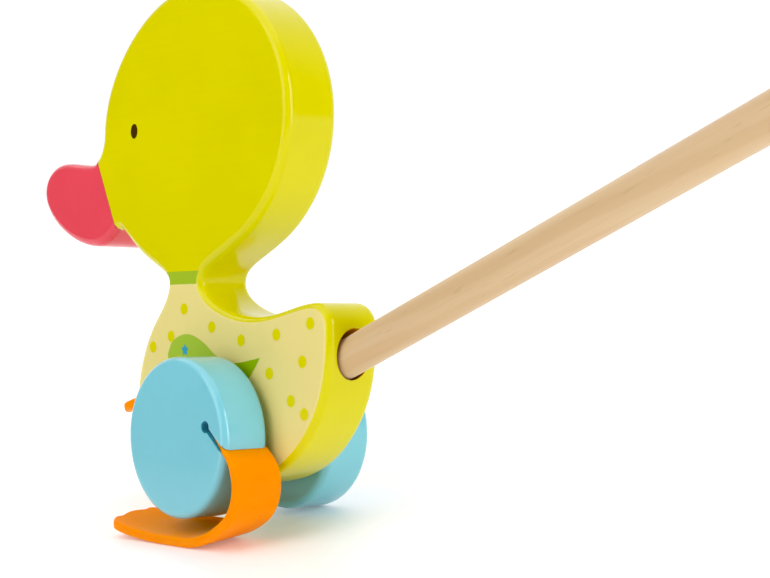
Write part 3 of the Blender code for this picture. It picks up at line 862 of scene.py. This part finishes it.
def build_board():
    """The board with its bores and its socket, painted yellow, with the print on its two sides."""
    mesh = outline_mesh(duck_knots(), PANEL_HALF, EDGE_ROUNDING, ROUND_STEPS, OUTLINE_STEPS)
    bore = cylinder_mesh(AXLE_RADIUS + RUNNING_GAP, -PANEL_THICKNESS, PANEL_THICKNESS)
    socket = cylinder_mesh(SOCKET_RADIUS, -SOCKET_DEPTH, 2 * THROUGH)
    floor = -SOCKET_DEPTH - INSERT_LENGTH - SEAT_GAP
    pocket = cylinder_mesh(INSERT_RADIUS + SEAT_GAP, floor, THROUGH - SOCKET_DEPTH)
    tools = [
        (bore, SIDE_VIEW, "DIFFERENCE"),
        (socket, handle_frame(), "DIFFERENCE"),
        (pocket, handle_frame(), "DIFFERENCE"),
    ]
    tools += seam_tools(-SEAM_LINE, "DIFFERENCE")
    done = cut_mesh(mesh, SIDE_VIEW, tools, CUT_EDGE)
    print_board(done)
    line_socket(done)
    drop_folds(done)
    finishes = (
        lacquer("yellow_lacquer", YELLOW, BOARD_GRAIN),
        print_ink("cream_print", CREAM),
        print_ink("collar_print", COLLAR_GREEN),
        # Socket inside: bare wood, its deeper orange-brown a painted shade
        hollow_with_shade("socket_wood_and_shade", SOCKET_WOOD_AND_SHADE),
    )
    board = add_piece("duck_board", done, TOY, "body", "yellow_paint", *finishes)
    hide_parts("body_panel")


def build_beak():
    """The red beak block, shaped in one run with the head."""
    mesh = outline_mesh(duck_knots(), PANEL_HALF, EDGE_ROUNDING, ROUND_STEPS, OUTLINE_STEPS)
    done = drop_folds(cut_mesh(mesh, SIDE_VIEW, seam_tools(SEAM_LINE, "INTERSECT"), CUT_EDGE))
    red = lacquer("red_lacquer", RED, BEAK_GRAIN)
    beak = add_piece("beak_block", done, TOY, "body", "red_paint", red)
    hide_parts("beak")


# Print

def smooth_loop(points, corners, steps=8):
    """Closed Catmull-Rom curve through points, sharp at the numbered corners."""
    count = len(points)
    done = []
    for i in range(count):
        before, here, there, after = (Vector(points[(i + k) % count]) for k in (-1, 0, 1, 2))
        leave = Vector((0, 0)) if i in corners else (there - before) / 2
        arrive = Vector((0, 0)) if (i + 1) % count in corners else (after - here) / 2
        for k in range(steps):
            t = k / steps
            share = ease(t)
            point = (1 - share) * here + share * there
            done.append(point + t * (1 - t) ** 2 * leave - t ** 2 * (1 - t) * arrive)
    return done


def oval_loop(centre, width, height, steps=48):
    """Closed oval."""
    done = []
    for i in range(steps):
        turn = math.tau * i / steps
        done.append(Vector(centre) + Vector((width / 2 * math.cos(turn), height / 2 * math.sin(turn))))
    return done


def flower_loop(centre, radius, petals=5, steps=80):
    """Closed outline of a small plain flower."""
    done = []
    for i in range(steps):
        turn = math.tau * i / steps
        reach = radius * (1 - FLOWER_DEPTH + FLOWER_DEPTH * math.cos(petals * turn))
        done.append(Vector(centre) + reach * Vector((math.sin(turn), math.cos(turn))))
    return done


def print_mesh(loops, side, layer):
    """Flat printed shapes on one side of the board, a hair above it."""
    work = bmesh.new()
    across = side * (PANEL_HALF + layer * PRINT_LIFT)
    for loop in loops:
        corners = [work.verts.new((point.x, across, point.y)) for point in loop]
        face = work.faces.new(corners)
        face.normal_update()
        if face.normal.y * side < 0:
            face.normal_flip()
    return end_work(work, bpy.data.meshes.new("print"))


def build_prints():
    """Dots, wing, flower and eye on both sides."""
    dot_ink = print_ink("dot_print", DOT_YELLOW)
    wing_ink = shaded_ink("wing_print", WING_LIGHT, WING_DARK, WING_SHADE_FROM, WING_SHADE_TO)
    flower_ink = print_ink("flower_print", FLOWER_BLUE)
    eye_ink = print_ink("eye_print", EYE_BROWN)
    dots = [oval_loop(at, 2 * DOT_RADIUS, 2 * DOT_RADIUS) for at in DOTS]
    shapes = (
        ("dots", dots, 1, dot_ink),
        ("wing", [smooth_loop(WING, WING_CORNERS)], 2, wing_ink),
        ("flower", [flower_loop(FLOWER_AT, FLOWER_RADIUS)], 3, flower_ink),
        ("eye", [oval_loop(EYE_AT, EYE_WIDTH, EYE_HEIGHT)], 1, eye_ink),
    )
    for name, loops, layer, ink in shapes:
        for side, label in ((1, "left"), (-1, "right")):
            mesh = print_mesh(loops, side, layer)
            add_piece(label + "_" + name, mesh, TOY, "body", "yellow_paint", ink)


# Wheels and feet

def line_keyhole(mesh, centre):
    """Give the inside of a wheel's keyhole and saw cut its material slot: the wheel's blue with
    painted shade.
    """
    to_wheel = centre.inverted()
    hole_at = keyhole_point()
    along = slot_direction()
    for face in mesh.polygons:
        middle = to_wheel @ face.center
        reach = Vector((middle.x, middle.z)) - hole_at
        aside = abs(reach.x * along.y - reach.y * along.x)
        in_cut = aside < SLOT_WIDTH / 2 + CUT_EDGE / 4 and reach.dot(along) > 0
        if in_cut or reach.length < KEYHOLE_RADIUS + CUT_EDGE / 4:
            face.material_index = KEYHOLE_SLOT


def line_to_rim():
    """Length of the slot's middle line, from the keyhole's centre out to the rim."""
    lean = SLOT_HEADING - KEYHOLE_ANGLE
    across = KEYHOLE_OFFSET * math.sin(lean)
    return math.sqrt(WHEEL_RADIUS ** 2 - across ** 2) - KEYHOLE_OFFSET * math.cos(lean)


def keyhole_point():
    """Centre of the keyhole in the side view."""
    return KEYHOLE_OFFSET * Vector((math.cos(KEYHOLE_ANGLE), math.sin(KEYHOLE_ANGLE)))


def slot_direction():
    """Direction of the slot from the keyhole, in the side view."""
    return Vector((math.cos(SLOT_HEADING), math.sin(SLOT_HEADING)))


def wheel_profile():
    """Half section of a wheel: flat faces, rounded rims and a plain tread."""
    half = WHEEL_WIDTH / 2
    inner = WHEEL_RADIUS - WHEEL_ROUNDING
    profile = [(0.0, half)] + [(inner * part, half) for part in WHEEL_FACE_RINGS]
    profile += arc(inner, half - WHEEL_ROUNDING, WHEEL_ROUNDING, 90, 0, RIM_STEPS)
    profile += arc(inner, WHEEL_ROUNDING - half, WHEEL_ROUNDING, 0, -90, RIM_STEPS)
    profile += [(inner * part, -half) for part in reversed(WHEEL_FACE_RINGS)] + [(0.0, -half)]
    return profile


def wheel_places(frame_place):
    """Frames at the middle of a wheel and at its keyhole."""
    centre = frame_place @ Matrix.Translation((0.0, WHEEL_MIDDLE, 0.0))
    hole_at = keyhole_point()
    return centre, centre @ Matrix.Translation((hole_at.x, 0.0, hole_at.y))


def build_wheel(name, frame_place, paint, lining):
    """One wheel with its keyhole, slot and blind axle socket."""
    centre, hole_place = wheel_places(frame_place)
    half = WHEEL_WIDTH / 2 + THROUGH
    hole = cylinder_mesh(KEYHOLE_RADIUS, -half, half)
    saw = box_mesh((0.0, -half, -SLOT_WIDTH / 2), (WHEEL_RADIUS, half, SLOT_WIDTH / 2))
    socket = cylinder_mesh(AXLE_RADIUS + SEAT_GAP, 0.0, AXLE_SOCKET_DEPTH + THROUGH)
    deepest = frame_place @ Matrix.Translation((0.0, WHEEL_INNER_FACE + AXLE_SOCKET_DEPTH, 0.0))
    tools = [
        (socket, deepest @ SIDE_VIEW, "DIFFERENCE"),
        (hole, hole_place @ SIDE_VIEW, "DIFFERENCE"),
        (saw, hole_place @ Matrix.Rotation(-SLOT_HEADING, 4, "Y"), "DIFFERENCE"),
    ]
    disc = turned_mesh(wheel_profile(), WHEEL_SIDES)
    done = cut_mesh(disc, centre @ SIDE_VIEW, tools, CUT_EDGE)
    line_keyhole(done, centre)
    drop_folds(done)
    wheel = add_piece(name + "_wheel_disc", done, TOY, "wheelset", "blue_paint", paint, lining)
    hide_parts(name + "_wheel")


def walk(start, heading, stretches, distance):
    """Point and heading after a distance along (length, turn) stretches of even curvature."""
    point = start.copy()
    for length, turn in stretches:
        part = min(distance, length)
        swing = turn * part / length
        middle = heading + swing / 2
        chord = 2 * part / swing * math.sin(swing / 2) if swing else part
        point = point + chord * Vector((math.cos(middle), math.sin(middle)))
        heading += swing
        distance -= part
        if distance <= 0:
            break
    return point, heading


def root_stretches(bend_radius):
    """Start of either foot: straight out of the slot, then round until it runs along the rim."""
    bend = math.radians(270) - SLOT_HEADING
    return [(line_to_rim() + STRAIGHT_ROOT, 0.0), (bend_radius * bend, bend)]


def left_stretches():
    """Left foot, folded under its wheel: round the heel, along the floor and up at the toes."""
    root = root_stretches(LEFT_BEND_RADIUS)
    bend_end, _ = walk(keyhole_point(), SLOT_HEADING, root, 1.0)
    height = bend_end.y + WHEEL_RADIUS + SOLE_DROP + FOOT_THICKNESS / 2
    heel_radius = HEEL_SHARE * height
    turned = math.sin(HEEL_TURN)
    arch_radius = (height - heel_radius * turned) / (1 - turned)
    arch_turn = math.radians(90) - HEEL_TURN
    under = [
        (heel_radius * HEEL_TURN, HEEL_TURN),
        (arch_radius * arch_turn, arch_turn),
        (SOLE_FLAT, 0.0),
    ]
    used = sum(length for length, _ in root + under)
    toe = line_to_rim() + FOOT_LENGTH - used
    return root + under + [(toe, toe / TOE_CURL_RADIUS)]


def right_stretches():
    """Right foot, held out in the air in front of its wheel, with a little droop."""
    root = root_stretches(RIGHT_BEND_RADIUS)
    free = line_to_rim() + FOOT_LENGTH - sum(length for length, _ in root)
    return root + [(free, DROOP)]


def foot_knots():
    """Knots of a foot laid flat: X runs from the keyhole to the toes, Y across the strap."""
    root = line_to_rim()
    tip = root + FOOT_LENGTH
    half = WHEEL_WIDTH / 2
    tongue = half - TONGUE_RECESS
    shoulder = root - SHOULDER_INSET
    toe_side = half + FOOT_FLARE
    notch = half * NOTCH_PLACE
    toe_tip = tip - TOE_STEP
    tongue_end = tongue - TONGUE_TAPER
    step = KEYHOLE_RADIUS + TONGUE_STEP / 2
    bead = half - BEAD_RECESS
    fillet = TONGUE_STEP * QUARTER_ARC
    left_side = [
        (tip, 0.0, 90, notch * 0.5, notch * 0.55),
        (tip - TOE_NOTCH, notch, 102, notch * 0.22, notch * 0.2),
        (toe_tip, half * OUTER_TOE_PLACE, 110, half * 0.1, half * 0.12),
        (toe_tip - TOE_FLARE_AT, toe_side, 180, 0.0034, 0.0050),
        (toe_tip - TOE_FLARE_FROM, half, 180, 0.0070, 0.0100),
        (shoulder + SHOULDER_TAPER, half, 180, 0.0100, SHOULDER_TAPER),
        (shoulder - SHOULDER_TAPER, tongue, 180, SHOULDER_TAPER, 0.0010),
        (step + TONGUE_STEP, tongue_end, 180, 0.0010, fillet),
        (step, tongue_end - TONGUE_STEP, 270, fillet, 0.0005),
        (step, bead + TONGUE_STEP, 270, 0.0005, fillet),
        (step - TONGUE_STEP, bead, 180, fillet, 0.0005),
        (0.0, bead, 180, 0.0005, 0.0),
    ]
    right_side = [
        (x, -y, 180 - heading, ahead, behind)
        for x, y, heading, behind, ahead in reversed(left_side[1:])
    ]
    return left_side + right_side


def heel_pad(along, across):
    """Height of the pad on which the wheel stands, thickest at the strap's inner edge."""
    inwards = WHEEL_WIDTH / 2 + across
    pad = HEEL_PAD * ease(1 - inwards / WHEEL_WIDTH)
    lip = HEEL_LIP * ease(1 - inwards / HEEL_LIP_WIDTH)
    return (pad + lip) * ease(HEEL_PAD_FADE - 2 * abs(along) / HEEL_PAD_LENGTH)


def foot_mesh(stretches, twist):
    """Foot bent along its route, in the side view's frame with Y across the strap.

    A twist turns the strap about its route, bit by bit, until it lies along the floor.
    """
    half = FOOT_THICKNESS / 2
    mesh = outline_mesh(foot_knots(), half, FOOT_EDGE, FOOT_ROUND_STEPS, FOOT_OUTLINE_STEPS)
    work = start_work(mesh)
    bmesh.ops.dissolve_limit(
        work, angle_limit=FOOT_FLAT_WITHIN, verts=work.verts, edges=work.edges)
    rim = line_to_rim()
    for i in range(FOOT_STATIONS):
        slice_work(work, (rim + FOOT_LENGTH * i / FOOT_STATIONS, 0, 0), (1, 0, 0))
    for share in LIP_CUTS:
        slice_work(work, (0, HEEL_LIP_WIDTH * share - WHEEL_WIDTH / 2, 0), (0, 1, 0))
    bmesh.ops.remove_doubles(work, verts=work.verts, dist=WELD)
    twisted = sum(length for length, _ in stretches[:TWISTED_STRETCHES]) - rim
    for vert in work.verts:
        distance, across, above = vert.co
        point, heading = walk(keyhole_point(), SLOT_HEADING, stretches, distance)
        grown = ease((distance - rim) / ROOT_TAPER)
        thickness = TONGUE_THICKNESS + (FOOT_THICKNESS - TONGUE_THICKNESS) * grown
        above *= thickness / FOOT_THICKNESS
        if twist and above > 0 and distance > rim + ROOT_TAPER:
            above += heel_pad(point.x, across)
        turn = Matrix.Rotation(twist * ease((distance - rim) / twisted), 3, "X")
        offset = Vector((-above * math.sin(heading), across, above * math.cos(heading)))
        vert.co = Vector((point.x, 0.0, point.y)) + turn @ offset
    turn_outwards(work)
    return end_work(work, mesh)


def build_foot(name, frame_place, stretches, twist, skin):
    """One rubber foot with its bead, bending between its wheel and its flap."""
    centre, hole_place = wheel_places(frame_place)
    half = WHEEL_WIDTH / 2 - BEAD_RECESS + BEAD_OVERHANG
    bead = cylinder_mesh(KEYHOLE_RADIUS - SEAT_GAP, -half, half, BEAD_SIDES)
    tools = [(bead, hole_place @ SIDE_VIEW, "UNION")]
    done = drop_folds(cut_mesh(foot_mesh(stretches, twist), centre, tools))
    done.transform(TOY)
    foot = add_piece(name + "_foot_strap", done, None, None, "orange_rubber", skin)
    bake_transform(foot)
    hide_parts(name + "_foot")


def build_wheelset():
    """Both wheels with their feet."""
    paint = lacquer("blue_lacquer", BLUE, WHEEL_GRAIN, WHEEL_GLOSS, WHEEL_INDEX)
    skin = rubber("orange_rubber_skin", ORANGE)
    upright = Matrix.Identity(4)
    # Keyhole inside: the wheel's blue darkened, painted shade of the hollow
    lining = hollow_with_shade("keyhole_painted_shade", KEYHOLE_SHADE_TEAL)
    build_wheel("left", upright, paint, lining)
    build_wheel("right", TURNED_ABOUT, paint, lining)
    build_foot("left", upright, left_stretches(), -LEAN, skin)
    build_foot("right", TURNED_ABOUT, right_stretches(), 0.0, skin)


# Handle and hidden parts

def build_handle():
    """The beech stick, with the hole for its bolt."""
    butt = SEAT_GAP - SOCKET_DEPTH
    tip = butt + HANDLE_LENGTH
    bore = STUD_RADIUS + SEAT_GAP + HANDLE_SAG
    profile = []
    for i in range(DOME_STEPS + 1):
        angle = math.radians(90) * i / DOME_STEPS
        profile.append((HANDLE_RADIUS * math.sin(angle), tip - HANDLE_DOME * (1 - math.cos(angle))))
    straight = HANDLE_LENGTH - HANDLE_DOME
    for i in range(1, ROD_RINGS):
        profile.append((HANDLE_RADIUS, tip - HANDLE_DOME - straight * i / ROD_RINGS))
    profile += [(HANDLE_RADIUS, butt + HANDLE_EDGE), (HANDLE_RADIUS - HANDLE_EDGE, butt)]
    deepest = butt + STUD_IN_ROD
    profile += [(bore, butt), (bore, deepest), (0.0, deepest)]
    wood = beech("waxed_beech", BEECH_LIGHT, BEECH_DARK)
    mesh = turned_mesh(profile, ROD_SIDES)
    place = TOY @ handle_frame() @ Matrix.Translation((-HANDLE_SAG, 0.0, 0.0))
    rod = add_piece("handle_stick", mesh, place, "body", "beech", wood)
    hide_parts("handle_rod")


def dress(node, material):
    """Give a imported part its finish."""
    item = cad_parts[node]
    item.data.materials.clear()
    item.data.materials.append(material)


def dress_hidden_parts():
    """Finishes of the parts that stay as they are packed."""
    dowel = beech("dowel_beech", BEECH_LIGHT, BEECH_DARK)
    for node in ("axle", "upper_beak_dowel", "lower_beak_dowel"):
        dress(node, dowel)
    plastic = nylon("washer_nylon", NYLON)
    dress("left_washer", plastic)
    dress("right_washer", plastic)
    dress("handle_stud", metal("zinc_plate", ZINC))
    dress("handle_insert", metal("brass_bar", BRASS))


# Studio

def add_camera():
    """Camera at the photograph's viewpoint."""
    back = Vector((
        math.sin(VIEW_TURN) * math.cos(VIEW_RISE),
        -math.cos(VIEW_TURN) * math.cos(VIEW_RISE),
        math.sin(VIEW_RISE),
    ))
    level = Vector((math.cos(VIEW_TURN), math.sin(VIEW_TURN), 0.0))
    upright = back.cross(level)
    right = math.cos(VIEW_ROLL) * level + math.sin(VIEW_ROLL) * upright
    up = back.cross(right)
    data = bpy.data.cameras.new("camera")
    data.sensor_width = SENSOR
    data.lens = FOCAL_PIXELS * SENSOR / PICTURE_WIDTH
    data.clip_start = CLIP_START
    turn = Matrix((right, up, back)).transposed().to_4x4()
    bpy.context.scene.camera = link("camera", data, TOY @ Matrix.Translation(EYE) @ turn)


def compass(turn, rise=0.0):
    """Direction at a turn from the toy's left towards its back, and a rise, in degrees."""
    around, up = math.radians(turn), math.radians(rise)
    level = math.cos(up)
    return Vector((-math.sin(around) * level, math.cos(around) * level, math.sin(up)))


def add_softbox(name, turn, rise, width, height, radiance):
    """Soft light that looks at the toy from a turn and a rise in degrees."""
    away = compass(turn, rise)
    data = bpy.data.lights.new(name, "AREA")
    data.shape = "RECTANGLE"
    data.size = width
    data.size_y = height
    data.energy = radiance * math.pi * width * height
    item = link(name, data)
    item.location = AXLE + Vector((0.0, 0.0, STRIP_AIM_RISE)) + away * STRIP_DISTANCE
    item.rotation_euler = away.to_track_quat("Z", "Y").to_euler()
    item.visible_camera = False


def add_surroundings():
    """White backdrop behind the toy, dark walls elsewhere and a pale ceiling.

    The picture's own background is the backdrop's white from every side.
    """
    world = bpy.data.worlds.new("studio")
    world.use_nodes = True
    tree = world.node_tree
    shader = tree.nodes["Background"]
    set_inputs(shader, {"Color": (1.0, 1.0, 1.0, 1.0)})
    outwards = tree.nodes.new("ShaderNodeTexCoord").outputs["Generated"]
    aside = tree.nodes.new("ShaderNodeVectorMath")
    aside.operation = "DOT_PRODUCT"
    aside.inputs[1].default_value = compass(BACKDROP_TURN)
    tree.links.new(outwards, aside.inputs[0])
    walls = spread(tree, aside.outputs["Value"], WALL_LIGHT, BACKDROP_LIGHT, *BACKDROP_EDGE)
    apart = tree.nodes.new("ShaderNodeSeparateXYZ")
    tree.links.new(outwards, apart.inputs["Vector"])
    above = spread(tree, apart.outputs["Z"], 0, 1, *CEILING_EDGE)
    is_seen = tree.nodes.new("ShaderNodeLightPath").outputs["Is Camera Ray"]
    around = walls
    for share, light in ((above, CEILING_LIGHT), (is_seen, BACKDROP_LIGHT)):
        mixed = tree.nodes.new("ShaderNodeMix")
        tree.links.new(share, mixed.inputs[0])
        tree.links.new(around, mixed.inputs[2])
        mixed.inputs[3].default_value = light
        around = mixed.outputs[0]
    tree.links.new(around, shader.inputs["Strength"])
    bpy.context.scene.world = world


def add_overhead_light():
    """Wide soft light from above, a little from the far side and from the beak's end."""
    data = bpy.data.lights.new("overhead", "SUN")
    data.energy = OVERHEAD_LIGHT
    data.angle = OVERHEAD_SPREAD
    item = link("overhead", data)
    item.rotation_euler = Vector(OVERHEAD_FROM).to_track_quat("Z", "Y").to_euler()


def build_studio():
    """White round floor that glows a little, its surroundings, three soft lights and the picture's
    tones.
    """
    work = bmesh.new()
    bmesh.ops.create_circle(work, cap_ends=True, segments=FLOOR_SIDES, radius=FLOOR_RADIUS)
    mesh = end_work(work, bpy.data.meshes.new("floor"))
    floor = link("floor", mesh)
    mesh.materials.append(glowing_floor_paper("glowing_floor_paper"))
    add_surroundings()
    add_softbox("left_strip", **LEFT_STRIP)
    add_softbox("right_strip", **RIGHT_STRIP)
    add_overhead_light()
    view = bpy.context.scene.view_settings
    view.view_transform = "Standard"
    view.look = "None"
    view.use_curve_mapping = True
    view.curve_mapping.black_level = BLACK_LEVEL


add_camera()
build_studio()
build_board()
build_beak()
build_prints()
build_wheelset()
build_handle()
dress_hidden_parts()
